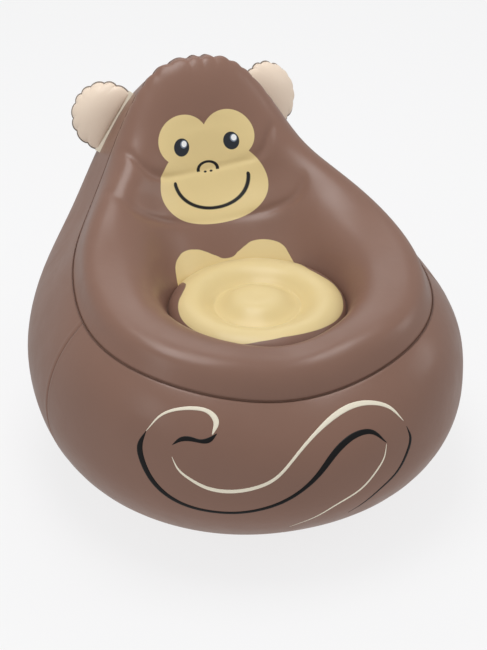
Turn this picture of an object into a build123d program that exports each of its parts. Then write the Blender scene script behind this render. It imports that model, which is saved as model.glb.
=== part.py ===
"""An inflatable chair for a child: a monkey's head for a backrest, a round seat cushion and two soft ears.

Millimetres. The origin is on the floor under the middle of the base, +Z is up and the sitter faces -Y.
The body is described by upright profiles around the seat's axis; a bearing of -90 is the front,
0 the sitter's side (+X) and 90 the crown of the backrest. The body is the same on both sides of X = 0.
"""
from build123d import *
from math import cos, pi, radians, sin
import os

import numpy as np
from scipy.interpolate import CubicSpline

# Sheet and welds
SHEET = 1.0
WELD_RADIUS = 2.0

# Overall body
HALF_WIDTH = 360.0
HALF_DEPTH = 392.0
HEAD_HEIGHT = 600.0
BASE_HALF_WIDTH = 240.0
BASE_HALF_DEPTH = 222.0
FRONT_RIM_HEIGHT = 288.0
FRONT_BELLY_HEIGHT = 170.0
REAR_BELLY_HEIGHT = 250.0
PLAN_POWER = 2.1
FOOT_POWER = 1.45

# Seat
SEAT_Y = -75.0
WELL_RADIUS = 145.0
WELL_HEIGHT = 315.0
GROOVE_RADIUS = 70.0
CUSHION_CROWN = 338.0
GROOVE_HEIGHT = 320.0
DOME_SHOULDER = 0.62
RING_RISE = 1.25
RING_SHOULDER = 0.80
DOME_FALL = 5.0
RING_INNER_FALL = 7.0
RING_OUTER_FALL = 1.0
WELD_GAP = 0.3
VENT_RADIUS = 14.0

# Backrest ties
NOSE_TIE_HEIGHT = 435.0
CHIN_TIE_HEIGHT = 375.0
NOSE_TIE_BEARING = 68.0
CHIN_TIE_BEARING = 60.0
TIE_CLEARANCE = 3.0

# Stations around the body: front, knee, front corner, side, shoulder, below the ear, ear, temple, crown
BEARINGS = (-90, -65, -40, 0, 35, 60, 72, 80, 90)
SEAM_RISE = (0.0, 0.05, 0.12, 0.167, 0.25, 0.48, 0.81, 0.96, 1.0)
SEAM_SHARE = (0.735, 0.775, 0.825, 0.81, 0.775, 0.785, 0.785, 0.785, 0.785)
BELLY_RISE = (0.0, 0.02, 0.08, 0.16, 0.48, 1.0, 1.0, 1.0, 1.0)
WALL_LEAN = (66, 64, 58, 46, 40, 44, 50, 54, 56)
WALL_LOWER_PULL = (0.50, 0.48, 0.44, 0.38, 0.36, 0.62, 0.70, 0.70, 0.70)
WALL_UPPER_PULL = (0.36, 0.36, 0.36, 0.34, 0.34, 0.56, 0.60, 0.60, 0.60)
PANEL_LEAN = (18, 22, 30, 36, 34, 22, 20, 30, 42)
PANEL_PULL = (30, 32, 34, 34, 40, 46, 50, 50, 50)
INNER_RADIUS = (186, 195, 209, 222, 232, 255, 264, 267, 268)
INNER_RISE = (22, 35, 50, 70, 97, 125, 134, 138, 140)
INNER_SLOPE = (0, 1, 2, 8, 25, 55, 64, 68, 70)
INNER_OUT_PULL = (30, 36, 48, 60, 70, 70, 70, 75, 80)
INNER_IN_PULL = (35, 40, 45, 50, 60, 60, 52, 50, 50)
WELL_SLOPE = (75, 75, 75, 70, 60, 50, 48, 48, 48)
WELL_PULL = (30, 32, 35, 40, 50, 60, 60, 60, 60)

# Ears
EAR_LOW_BEARING = 65.0
EAR_LOW_HEIGHT = 430.0
EAR_HIGH_BEARING = 75.0
EAR_HIGH_HEIGHT = 530.0
EAR_OUTWARD = (0.75, 0.55, 0.30)
EAR_DEPTH = 72.0
EAR_HALF_THICKNESS = 20.0
EAR_EDGE = 4.0
EAR_VALVE_FLANGE_RADIUS = 10.0
EAR_FLANGE = 4.0
EAR_STANDOFF = 3.0

# Valves
FLANGE_RADIUS = 15.0
FLANGE_FIT = 0.4
FLANGE_THICKNESS = 1.6
STEM_RADIUS = 6.0
STEM_BORE = 3.1
STEM_LENGTH = 16.0
STEM_PROUD = 1.5
STEM_CLEARANCE = 0.3
STEM_COLLAR_RADIUS = 7.6
STEM_COLLAR_HEIGHT = 1.5
PLUG_CAP_RADIUS = 6.0
PLUG_CAP_HEIGHT = 1.8
PLUG_SPIGOT_TOP = 3.0
PLUG_SPIGOT_TIP = 2.0
PLUG_SPIGOT_LENGTH = 5.0
PLUG_GAP = 0.3
STRAP_WIDTH = 4.0
STRAP_LUG_HEIGHT = 1.2
STRAP_HINGE = 10.0
FLAP_RADIUS = 4.2
FLAP_THICKNESS = 0.8
FLAP_GAP = 0.3
MAIN_VALVE_BEARING = 90.0
MAIN_VALVE_HEIGHT = 190.0


# ---------------------------------------------------------------- shape of the body

def fold(bearing):
    """The same place on the +X side for a bearing just past the front or the crown."""
    if bearing > 90:
        return 180 - bearing
    if bearing < -90:
        return -180 - bearing
    return bearing


def at(values, bearing):
    """A value at any bearing, smooth through the stations and level at the front and the crown."""
    return float(CubicSpline(BEARINGS, values, bc_type="clamped")(fold(bearing)))


def plan_radius(half_width, half_depth, bearing):
    """Distance from the seat's axis to a rounded plan outline centred on the origin."""
    across, along = cos(radians(bearing)), sin(radians(bearing))
    inside, outside = 0.0, 3 * half_depth
    while outside - inside > 1e-6:
        middle = (inside + outside) / 2
        x, y = abs(middle * across), abs(SEAT_Y + middle * along)
        if (x / half_width) ** PLAN_POWER + (y / half_depth) ** PLAN_POWER < 1:
            inside = middle
        else:
            outside = middle
    return inside


def belly(bearing):
    """Radius and height of the body's widest line."""
    height = FRONT_BELLY_HEIGHT + at(BELLY_RISE, bearing) * (REAR_BELLY_HEIGHT - FRONT_BELLY_HEIGHT)
    return np.array((plan_radius(HALF_WIDTH, HALF_DEPTH, bearing), height))


def seam(bearing):
    """Radius and height of the perimeter weld."""
    height = FRONT_RIM_HEIGHT + at(SEAM_RISE, bearing) * (HEAD_HEIGHT - FRONT_RIM_HEIGHT)
    return np.array((at(SEAM_SHARE, bearing) * belly(bearing)[0], height))


def bezier(a, b, c, d, t):
    return (1 - t) ** 3 * a + 3 * (1 - t) ** 2 * t * b + 3 * (1 - t) * t ** 2 * c + t ** 3 * d


def heading(angle):
    """Unit vector that points inwards, turned down by an angle in degrees."""
    return np.array((-cos(radians(angle)), -sin(radians(angle))))


def past_weld(bearing, lean):
    """Length of profile, leaving the perimeter weld at a lean from upright, that the weld itself takes up."""
    here = in_space(seam(bearing), bearing)
    along = (in_space(seam(bearing + 1), bearing + 1) - here).normalized()
    leaving = (in_space(seam(bearing) + np.array((-sin(lean), cos(lean))), bearing) - here).normalized()
    return (WELD_RADIUS + WELD_GAP) / along.cross(leaving).length


def wall_profile(bearing, lower_steps=10, upper_steps=14):
    """Radius and height of the side wall, from the base up to the perimeter weld."""
    widest, top = belly(bearing), seam(bearing)
    base_radius = plan_radius(BASE_HALF_WIDTH, BASE_HALF_DEPTH, bearing)
    points = []
    for step in range(lower_steps):
        turn = pi / 2 * step / lower_steps
        radius = base_radius + (widest[0] - base_radius) * sin(turn) ** FOOT_POWER
        points.append(np.array((radius, widest[1] * (1 - cos(turn)))))
    chord = np.linalg.norm(top - widest)
    lean = radians(at(WALL_LEAN, bearing))
    upper_pull = at(WALL_UPPER_PULL, bearing) * chord
    leave = widest + np.array((0, at(WALL_LOWER_PULL, bearing) * (top[1] - widest[1])))
    arrive = top - upper_pull * np.array((-sin(lean), cos(lean)))
    end = 1 - past_weld(bearing, lean) / (3 * upper_pull)
    for step in range(upper_steps + 1):
        points.append(bezier(widest, leave, arrive, top, end * step / upper_steps))
    return points


def panel_profile(bearing, outer_steps=14, inner_steps=12):
    """Radius and height of the seat-and-back panel, from the perimeter weld in to the seat well."""
    start, well = seam(bearing), np.array((WELL_RADIUS, WELL_HEIGHT))
    inner = np.array((at(INNER_RADIUS, bearing), WELL_HEIGHT + at(INNER_RISE, bearing)))
    lean, slope = radians(at(PANEL_LEAN, bearing)), at(INNER_SLOPE, bearing)
    start_pull, well_pull = at(PANEL_PULL, bearing), at(WELL_PULL, bearing)
    leave = start + start_pull * np.array((-sin(lean), cos(lean)))
    before = inner - at(INNER_OUT_PULL, bearing) * heading(slope)
    after = inner + at(INNER_IN_PULL, bearing) * heading(slope)
    arrive = well - well_pull * heading(at(WELL_SLOPE, bearing))
    begin = past_weld(bearing, lean) / (3 * start_pull)
    end = 1 - (WELD_RADIUS + WELD_GAP) / (3 * well_pull)
    points = []
    for step in range(outer_steps):
        t = begin + (1 - begin) * step / outer_steps
        points.append(bezier(start, leave, before, inner, t))
    for step in range(inner_steps + 1):
        points.append(bezier(inner, after, arrive, well, end * step / inner_steps))
    return points


def in_space(point, bearing):
    """A profile point as a place in space."""
    radius, height = point
    return Vector(radius * cos(radians(bearing)), SEAT_Y + radius * sin(radians(bearing)), height)


def half_sheet(profile, start=-95, stop=95, step=5):
    """The sheet a profile sweeps, from just past the front to just past the crown, SHEET thick inwards."""
    rows = [[tuple(in_space(point, bearing)) for point in profile(bearing)]
            for bearing in range(start, stop + step, step)]
    outer = np.array(rows)
    normals = np.cross(np.gradient(outer, axis=0), np.gradient(outer, axis=1))
    normals /= np.linalg.norm(normals, axis=2, keepdims=True)
    faces = []
    for grid in (outer, outer - SHEET * normals):
        points = [[Vector(*place) for place in row] for row in grid]
        faces.append(Face.make_surface_from_array_of_points(points, tol=0.05, min_deg=3, max_deg=5))
    for edge in faces[0].edges():
        facing = min(faces[1].edges(), key=lambda other: (other @ 0.5 - edge @ 0.5).length)
        faces.append(Face.make_surface_from_curves(edge, facing))
    return Solid(Shell(faces))


def height_on(profile, bearing, height):
    """Radius at which a profile last passes a height."""
    points = profile(bearing)
    for upper, lower in zip(reversed(points[:-1]), reversed(points[1:])):
        share = (height - lower[1]) / (upper[1] - lower[1])
        if 0 <= share <= 1:
            return lower[0] + share * (upper[0] - lower[0])
    raise ValueError(f"the profile at {bearing} has no height {height}")


def wall_place(bearing, height):
    """A place on the wall's outside."""
    return in_space((height_on(wall_profile, bearing, height), height), bearing)


def wall_plane(bearing, height):
    """Plane on the wall's outside: z points out of the body and x points up the wall."""
    place = wall_place(bearing, height)
    up = wall_place(bearing, height + 1) - place
    aside = wall_place(bearing + 0.1, height) - wall_place(bearing - 0.1, height)
    return Plane(origin=place, x_dir=up, z_dir=aside.cross(up))


def finish(part, name):
    """Label a finished piece and write it."""
    part.label = name
    export_step(part, f"parts/{name}.step")


os.makedirs("parts", exist_ok=True)

# ---------------------------------------------------------------- sheets of the body

main_valve_plane = wall_plane(MAIN_VALVE_BEARING, MAIN_VALVE_HEIGHT)
side_plane = Plane(origin=(0, SEAT_Y, 0), z_dir=(0, 1, 0))
wall_sheet = half_sheet(wall_profile)

with BuildPart() as front_wall:
    add(wall_sheet)
    split(bisect_by=Plane.YZ, keep=Keep.TOP)
    split(bisect_by=side_plane, keep=Keep.BOTTOM)
    mirror(about=Plane.YZ)
finish(front_wall.part, "front_wall")

with BuildPart() as rear_wall:
    add(wall_sheet)
    split(bisect_by=Plane.YZ, keep=Keep.TOP)
    split(bisect_by=side_plane, keep=Keep.TOP)
    mirror(about=Plane.YZ)
    with BuildSketch(main_valve_plane):
        Circle(FLANGE_RADIUS + FLANGE_FIT)
    extrude(amount=4 * FLANGE_RADIUS, both=True, mode=Mode.SUBTRACT)
finish(rear_wall.part, "rear_wall")

with BuildPart() as seat_back_panel:
    add(half_sheet(panel_profile))
    split(bisect_by=Plane.YZ, keep=Keep.TOP)
    mirror(about=Plane.YZ)
finish(seat_back_panel.part, "seat_back_panel")


def cushion_points(depth):
    """Dome, groove and ring of the seat's top, or of its underside at a depth."""
    return (
        (0, CUSHION_CROWN - depth),
        (DOME_SHOULDER * GROOVE_RADIUS, CUSHION_CROWN - DOME_FALL - depth),
        (GROOVE_RADIUS, GROOVE_HEIGHT - depth),
        (RING_RISE * GROOVE_RADIUS, CUSHION_CROWN - RING_INNER_FALL - depth),
        (RING_SHOULDER * WELL_RADIUS, CUSHION_CROWN - RING_OUTER_FALL - depth),
        (WELL_RADIUS - WELD_RADIUS - WELD_GAP - depth, WELL_HEIGHT),
    )


with BuildPart() as seat_cushion_top:
    with BuildSketch(Plane.XZ.offset(-SEAT_Y)):
        with BuildLine():
            upper = Spline(cushion_points(0), tangents=((1, 0), (0.25, -1)))
            under = Spline(cushion_points(SHEET), tangents=((1, 0), (0.25, -1)))
            Line(under @ 0, upper @ 0)
            Line(under @ 1, upper @ 1)
        make_face()
    revolve(axis=Axis((0, SEAT_Y, 0), (0, 0, 1)))
finish(seat_cushion_top.part, "seat_cushion_top")


def plan_outline(inset):
    """Points of the wall's foot, moved in by an inset."""
    places = []
    for bearing in range(-180, 180, 10):
        radius = plan_radius(BASE_HALF_WIDTH, BASE_HALF_DEPTH, bearing) - inset
        places.append((radius * cos(radians(bearing)), SEAT_Y + radius * sin(radians(bearing))))
    return places


with BuildPart() as base_panel:
    with BuildSketch():
        with BuildLine():
            Spline(plan_outline(WELD_GAP), periodic=True)
        make_face()
    extrude(amount=SHEET)
finish(base_panel.part, "base_panel")

# ---------------------------------------------------------------- welds and inner webs

with BuildPart() as perimeter_weld:
    with BuildLine():
        half_seam = Spline([in_space(seam(bearing), bearing) for bearing in range(-100, 101, 5)])
    with BuildSketch(Plane(origin=half_seam @ 0, z_dir=half_seam % 0)):
        Circle(WELD_RADIUS)
    sweep()
    split(bisect_by=Plane.YZ, keep=Keep.TOP)
    mirror(about=Plane.YZ)
finish(perimeter_weld.part, "perimeter_weld")

with BuildPart() as seat_well_weld:
    with BuildSketch(Plane.XZ.offset(-SEAT_Y)):
        with Locations((WELL_RADIUS, WELL_HEIGHT)):
            Circle(WELD_RADIUS)
    revolve(axis=Axis((0, SEAT_Y, 0), (0, 0, 1)))
finish(seat_well_weld.part, "seat_well_weld")


def round_web(name, radius, top, vents):
    """A tube-shaped web between a ring on the seat and the base, with vent holes half way up."""
    foot = SHEET + WELD_GAP
    with BuildPart() as web:
        with BuildSketch(Plane((0, SEAT_Y, foot))):
            Circle(radius)
            Circle(radius - SHEET, mode=Mode.SUBTRACT)
        extrude(amount=top - foot)
        middle = (0, SEAT_Y, (foot + top) / 2)
        for turn in range(vents):
            outwards = Vector(1, 0, 0).rotate(Axis.Z, turn * 360 / vents)
            with BuildSketch(Plane(origin=middle, z_dir=outwards)):
                Circle(VENT_RADIUS)
            extrude(amount=2 * radius, mode=Mode.SUBTRACT)
    finish(web.part, name)


round_web("seat_well_web", WELL_RADIUS + SHEET / 2, WELL_HEIGHT - WELD_RADIUS - WELD_GAP, 6)
round_web("seat_ring_web", GROOVE_RADIUS + SHEET / 2, GROOVE_HEIGHT - SHEET - WELD_RADIUS, 4)


def back_tie(name, height, first):
    """A flat tie between the backrest's face and the rear wall, from a first bearing to its mirror."""
    bearings = [first + (180 - 2 * first) * step / 6 for step in range(7)]
    face_side, wall_side = [], []
    for bearing in bearings:
        near = height_on(panel_profile, fold(bearing), height) + TIE_CLEARANCE
        far = height_on(wall_profile, fold(bearing), height) - TIE_CLEARANCE
        face_side.append(in_space((near, height), bearing))
        wall_side.append(in_space((far, height), bearing))
    middle = (face_side[3] + wall_side[3]) / 2
    with BuildPart() as tie:
        with BuildSketch(Plane.XY.offset(height)):
            with BuildLine():
                front = Spline([(p.X, p.Y) for p in face_side])
                back = Spline([(p.X, p.Y) for p in wall_side])
                Line(front @ 0, back @ 0)
                Line(front @ 1, back @ 1)
            make_face()
            with Locations((middle.X, middle.Y)):
                with GridLocations(4 * VENT_RADIUS, 1, 3, 1):
                    Circle(VENT_RADIUS, mode=Mode.SUBTRACT)
        extrude(amount=SHEET)
    finish(tie.part, name)


back_tie("nose_tie", NOSE_TIE_HEIGHT, NOSE_TIE_BEARING)
back_tie("chin_tie", CHIN_TIE_HEIGHT, CHIN_TIE_BEARING)

# ---------------------------------------------------------------- valves


def valve(name, face, flange_radius):
    """A welded flange, a push-in stem, a tethered plug and a check flap, on a plane facing outwards."""
    top = STEM_PROUD
    bottom = top - STEM_LENGTH
    with BuildPart() as flange:
        with BuildSketch(face.offset(-FLANGE_THICKNESS)):
            Circle(flange_radius)
            Circle(STEM_RADIUS + STEM_CLEARANCE, mode=Mode.SUBTRACT)
        extrude(amount=FLANGE_THICKNESS)
    finish(flange.part, f"{name}_valve_flange")

    with BuildPart() as stem:
        with BuildSketch(face.offset(bottom)):
            Circle(STEM_RADIUS)
        extrude(amount=STEM_LENGTH)
        with BuildSketch(face.offset(bottom)):
            Circle(STEM_COLLAR_RADIUS)
        extrude(amount=STEM_COLLAR_HEIGHT)
        with BuildSketch(face.offset(top - STRAP_LUG_HEIGHT)):
            with Locations((STRAP_HINGE / 2, 0)):
                Rectangle(STRAP_HINGE, STRAP_WIDTH)
        extrude(amount=STRAP_LUG_HEIGHT)
        with BuildSketch(face.offset(bottom)):
            Circle(STEM_BORE)
        extrude(amount=STEM_LENGTH, mode=Mode.SUBTRACT)
    finish(stem.part, f"{name}_valve_stem")

    seat = face.offset(top + PLUG_GAP)
    with BuildPart() as plug:
        with BuildSketch(seat):
            Circle(PLUG_CAP_RADIUS)
            with Locations((STRAP_HINGE / 2, 0)):
                Rectangle(STRAP_HINGE, STRAP_WIDTH)
        extrude(amount=PLUG_CAP_HEIGHT)
        with BuildSketch(seat):
            Circle(PLUG_SPIGOT_TOP)
        with BuildSketch(seat.offset(-PLUG_SPIGOT_LENGTH)):
            Circle(PLUG_SPIGOT_TIP)
        loft()
    finish(plug.part, f"{name}_valve_plug")

    with BuildPart() as flap:
        with BuildSketch(face.offset(bottom - FLAP_GAP)):
            Circle(FLAP_RADIUS)
        extrude(amount=-FLAP_THICKNESS)
    finish(flap.part, f"{name}_valve_flap")


valve("main", main_valve_plane, FLANGE_RADIUS)

# ---------------------------------------------------------------- ears


def ear_frame():
    """Plane of the right ear: x away from the head, y up the attached edge, z to the front."""
    low = wall_place(EAR_LOW_BEARING, EAR_LOW_HEIGHT)
    high = wall_place(EAR_HIGH_BEARING, EAR_HIGH_HEIGHT)
    up = (high - low).normalized()
    lean = Vector(EAR_OUTWARD)
    outward = (lean - up * lean.dot(up)).normalized()
    return Plane(origin=(low + high) / 2, x_dir=outward, z_dir=outward.cross(up))


def ear_foot(plane, steps=4):
    """Points of the flange's foot in the ear's plane, EAR_STANDOFF clear of the wall."""
    places = []
    for step in range(steps + 1):
        share = step / steps
        bearing = EAR_LOW_BEARING + share * (EAR_HIGH_BEARING - EAR_LOW_BEARING)
        height = EAR_LOW_HEIGHT + share * (EAR_HIGH_HEIGHT - EAR_LOW_HEIGHT)
        place = plane.to_local_coords(wall_place(bearing, height))
        places.append((place.X + EAR_STANDOFF, place.Y))
    return places


def finish_pair(part, name):
    """Write a piece on the viewer's right (+X) and its mirror image on the viewer's left."""
    finish(part, f"right_{name}")
    finish(mirror(part, about=Plane.YZ), f"left_{name}")


def mirrored(plane):
    """The same plane on the other side of X = 0, its z still pointing out of the chair."""
    flipped = [Vector(-v.X, v.Y, v.Z) for v in (plane.origin, plane.x_dir, plane.z_dir)]
    return Plane(origin=flipped[0], x_dir=flipped[1], z_dir=flipped[2])


right_ear = ear_frame()
foot_points = ear_foot(right_ear)
ear_hinge_offset = max(across for across, along in foot_points)
pouch_half_length = (foot_points[-1][1] - foot_points[0][1]) / 2
pouch_half_depth = (EAR_DEPTH - EAR_FLANGE - EAR_EDGE) / 2
pouch_centre = ear_hinge_offset + EAR_FLANGE + pouch_half_depth
pouch_size = (pouch_half_depth, pouch_half_length, EAR_HALF_THICKNESS)
right_ear_valve_plane = Plane(
    origin=right_ear.from_local_coords(Vector(pouch_centre, 0, -EAR_HALF_THICKNESS)),
    x_dir=right_ear.y_dir,
    z_dir=-right_ear.z_dir,
)

outer_pouch = scale(Sphere(1), by=pouch_size)
pouch_air = scale(Sphere(1), by=tuple(length - SHEET for length in pouch_size))
pouch_skin = right_ear * Pos(pouch_centre, 0, 0) * (outer_pouch - pouch_air)

with BuildPart() as ear_front_sheet:
    add(pouch_skin)
    split(bisect_by=right_ear, keep=Keep.TOP)
finish_pair(ear_front_sheet.part, "ear_front_sheet")

with BuildPart() as ear_back_sheet:
    add(pouch_skin)
    split(bisect_by=right_ear, keep=Keep.BOTTOM)
    with BuildSketch(right_ear_valve_plane):
        Circle(EAR_VALVE_FLANGE_RADIUS + FLANGE_FIT)
    extrude(amount=EAR_HALF_THICKNESS / 2, both=True, mode=Mode.SUBTRACT)
finish_pair(ear_back_sheet.part, "ear_back_sheet")

with BuildPart() as ear_edge_weld:
    with BuildSketch(right_ear.offset(-SHEET / 2)):
        with Locations((pouch_centre, 0)):
            Ellipse(pouch_half_depth + EAR_EDGE, pouch_half_length + EAR_EDGE)
        with BuildLine():
            foot = Spline(foot_points)
            Polyline(foot @ 1, (pouch_centre, pouch_half_length), (pouch_centre, -pouch_half_length), foot @ 0)
        make_face()
        with Locations((pouch_centre, 0)):
            Ellipse(pouch_half_depth + WELD_GAP, pouch_half_length + WELD_GAP, mode=Mode.SUBTRACT)
    extrude(amount=SHEET)
finish_pair(ear_edge_weld.part, "ear_edge_weld")

valve("right_ear", right_ear_valve_plane, EAR_VALVE_FLANGE_RADIUS)
valve("left_ear", mirrored(right_ear_valve_plane), EAR_VALVE_FLANGE_RADIUS)
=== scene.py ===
"""Finished look of an inflatable chair for a child: a monkey's head, a round seat cushion and two soft ears.

Metres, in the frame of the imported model. The body's sheets follow the same upright profiles round the seat's
axis as the CAD: a bearing of -90 is the front, 0 the +X side and 90 the crown of the backrest.
"""

import math

import bmesh
import bpy
import numpy as np
from mathutils import Matrix, Vector
from mathutils.bvhtree import BVHTree


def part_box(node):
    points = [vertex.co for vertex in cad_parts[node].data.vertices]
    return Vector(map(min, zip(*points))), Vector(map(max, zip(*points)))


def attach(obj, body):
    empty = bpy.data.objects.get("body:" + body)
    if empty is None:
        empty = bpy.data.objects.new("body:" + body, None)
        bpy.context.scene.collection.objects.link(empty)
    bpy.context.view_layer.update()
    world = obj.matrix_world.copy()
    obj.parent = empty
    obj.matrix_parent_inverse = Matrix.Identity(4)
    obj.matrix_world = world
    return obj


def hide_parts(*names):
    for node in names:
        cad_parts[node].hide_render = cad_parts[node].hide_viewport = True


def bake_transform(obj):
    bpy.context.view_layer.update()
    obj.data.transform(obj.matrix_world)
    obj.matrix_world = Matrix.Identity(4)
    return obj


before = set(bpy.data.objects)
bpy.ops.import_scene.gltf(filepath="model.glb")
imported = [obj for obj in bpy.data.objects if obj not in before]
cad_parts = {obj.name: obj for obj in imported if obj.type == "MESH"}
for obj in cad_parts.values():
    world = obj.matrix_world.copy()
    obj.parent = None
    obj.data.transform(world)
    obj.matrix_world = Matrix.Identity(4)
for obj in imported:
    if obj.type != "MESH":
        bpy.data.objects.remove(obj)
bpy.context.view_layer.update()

MM = 0.001

# ---------------------------------------------------------------- sizes of the body, in millimetres

HALF_WIDTH, HALF_DEPTH, HEAD_HEIGHT = 360, 392, 600
BASE_HALF_WIDTH, BASE_HALF_DEPTH = 240, 222
FRONT_RIM_HEIGHT = 288
FRONT_BELLY_HEIGHT, REAR_BELLY_HEIGHT = 170, 250
PLAN_POWER, FOOT_POWER = 2.1, 1.45
SEAT_Y = -75
WELL_RADIUS, WELL_HEIGHT = 145, 315

STATIONS = (-90, -65, -40, 0, 35, 60, 72, 80, 90)
SEAM_RISE = (0.0, 0.05, 0.12, 0.167, 0.25, 0.48, 0.81, 0.96, 1.0)
SEAM_SHARE = (0.735, 0.775, 0.825, 0.81, 0.775, 0.785, 0.785, 0.785, 0.785)
BELLY_RISE = (0.0, 0.02, 0.08, 0.16, 0.48, 1.0, 1.0, 1.0, 1.0)
WALL_LEAN = (66, 64, 58, 46, 40, 44, 50, 54, 56)
WALL_LOWER_PULL = (0.50, 0.48, 0.44, 0.38, 0.36, 0.62, 0.70, 0.70, 0.70)
WALL_UPPER_PULL = (0.36, 0.36, 0.36, 0.34, 0.34, 0.56, 0.60, 0.60, 0.60)
PANEL_LEAN = (18, 22, 30, 36, 34, 22, 20, 30, 42)
PANEL_PULL = (30, 32, 34, 34, 40, 46, 50, 50, 50)
INNER_RADIUS = (186, 195, 209, 222, 232, 255, 264, 267, 268)
INNER_RISE = (22, 35, 50, 70, 97, 125, 134, 138, 140)
INNER_SLOPE = (0, 1, 2, 8, 25, 55, 64, 68, 70)
INNER_OUT_PULL = (30, 36, 48, 60, 70, 70, 70, 75, 80)
INNER_IN_PULL = (35, 40, 45, 50, 60, 60, 52, 50, 50)
WELL_SLOPE = (75, 75, 75, 70, 60, 50, 48, 48, 48)
WELL_PULL = (30, 32, 35, 40, 50, 60, 60, 60, 60)

# ---------------------------------------------------------------- sizes of the finish, in metres

SKIN = 0.0008
COLUMNS = 720
COARSE = 6
PUCKER_PITCH = 0.0290
PUCKER_HEIGHT = 0.0052
PUCKER_REACH = 0.020
WELD_LIP = 0.0016
CROWN_LIP = 0.0030
BEAD_RADIUS = 0.0011
PRINT_LIFT = 0.00022
PRINT_THICKNESS = 0.0004
FACE_X = -0.003
CREASE_LIMIT = 0.0023
MERGE_GAP = 0.00002
PIT_RADIUS, PIT_DEPTH, EAR_PIT_DEPTH = 0.0096, 0.027, 0.0245


# ---------------------------------------------------------------- shape of the body

def fold(bearing):
    """The same place on the +X side for bearings past the front or the crown."""
    bearing = np.where(bearing > 90, 180 - bearing, bearing)
    return np.where(bearing < -90, -180 - bearing, bearing)


def through(places, values, where, first=0.0, last=0.0):
    """A cubic curve through values at places, with the given slopes at its two ends."""
    x, y = np.asarray(places, float), np.asarray(values, float)
    gap, count = np.diff(x), len(x)
    matrix, right = np.zeros((count, count)), np.zeros(count)
    matrix[0, 0] = matrix[-1, -1] = 1
    right[0], right[-1] = first, last
    for i in range(1, count - 1):
        matrix[i, i - 1:i + 2] = 1 / gap[i - 1], 2 / gap[i - 1] + 2 / gap[i], 1 / gap[i]
        right[i] = 3 * ((y[i] - y[i - 1]) / gap[i - 1] ** 2 + (y[i + 1] - y[i]) / gap[i] ** 2)
    slope = np.linalg.solve(matrix, right)
    span = np.clip(np.searchsorted(x, where) - 1, 0, count - 2)
    t = (where - x[span]) / gap[span]
    return (
        (1 + 2 * t) * (1 - t) ** 2 * y[span] + t * (1 - t) ** 2 * gap[span] * slope[span]
        + t * t * (3 - 2 * t) * y[span + 1] + t * t * (t - 1) * gap[span] * slope[span + 1]
    )


def at(values, bearing):
    return through(STATIONS, values, fold(bearing))


def plan_radius(half_width, half_depth, bearing):
    """Distance from the seat's axis to a rounded plan outline centred on the origin."""
    across, along = np.cos(np.radians(bearing)), np.sin(np.radians(bearing))
    inside, outside = np.zeros_like(across), np.full_like(across, 3.0 * half_depth)
    for _ in range(40):
        middle = (inside + outside) / 2
        x, y = np.abs(middle * across), np.abs(SEAT_Y + middle * along)
        within = (x / half_width) ** PLAN_POWER + (y / half_depth) ** PLAN_POWER < 1
        inside, outside = np.where(within, middle, inside), np.where(within, outside, middle)
    return inside


def belly(bearing):
    height = FRONT_BELLY_HEIGHT + at(BELLY_RISE, bearing) * (REAR_BELLY_HEIGHT - FRONT_BELLY_HEIGHT)
    return np.stack((plan_radius(HALF_WIDTH, HALF_DEPTH, bearing), height), -1)


def seam(bearing):
    height = FRONT_RIM_HEIGHT + at(SEAM_RISE, bearing) * (HEAD_HEIGHT - FRONT_RIM_HEIGHT)
    return np.stack((at(SEAM_SHARE, bearing) * belly(bearing)[..., 0], height), -1)


def bezier(a, b, c, d, t):
    """Rows of a cubic Bezier between columns of control places."""
    t = np.asarray(t)[None, :, None]
    a, b, c, d = (place[:, None, :] for place in (a, b, c, d))
    return (1 - t) ** 3 * a + 3 * (1 - t) ** 2 * t * b + 3 * (1 - t) * t ** 2 * c + t ** 3 * d


def lean_towards(angle):
    """Unit vectors that rise from upright towards the seat's axis by angles in degrees."""
    return np.stack((-np.sin(np.radians(angle)), np.cos(np.radians(angle))), -1)


def heading(angle):
    """Unit vectors that point inwards, turned down by angles in degrees."""
    return np.stack((-np.cos(np.radians(angle)), -np.sin(np.radians(angle))), -1)


def in_space(profile, bearing):
    """Places in metres for profiles of radius and height in millimetres."""
    turn = np.radians(bearing)
    turn = turn.reshape(turn.shape + (1,) * (profile.ndim - 1 - turn.ndim))
    radius, height = profile[..., 0], profile[..., 1]
    return MM * np.stack((radius * np.cos(turn), SEAT_Y + radius * np.sin(turn), height + 0 * turn), -1)


def wall_profiles(bearing, foot_steps, upper_steps):
    """Side wall, from the base up to the perimeter weld."""
    widest, top = belly(bearing), seam(bearing)
    base = plan_radius(BASE_HALF_WIDTH, BASE_HALF_DEPTH, bearing)
    turn = math.pi / 2 * np.asarray(foot_steps)[None, :]
    radius = base[:, None] + (widest[:, :1] - base[:, None]) * np.sin(turn) ** FOOT_POWER
    foot = np.stack((radius, widest[:, 1:] * (1 - np.cos(turn))), -1)
    chord = np.linalg.norm(top - widest, axis=1)
    rise = at(WALL_LOWER_PULL, bearing) * (top - widest)[:, 1]
    leave = widest + np.stack((0 * rise, rise), -1)
    arrive = top - (at(WALL_UPPER_PULL, bearing) * chord)[:, None] * lean_towards(at(WALL_LEAN, bearing))
    return np.concatenate((foot, bezier(widest, leave, arrive, top, upper_steps)), 1)


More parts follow.
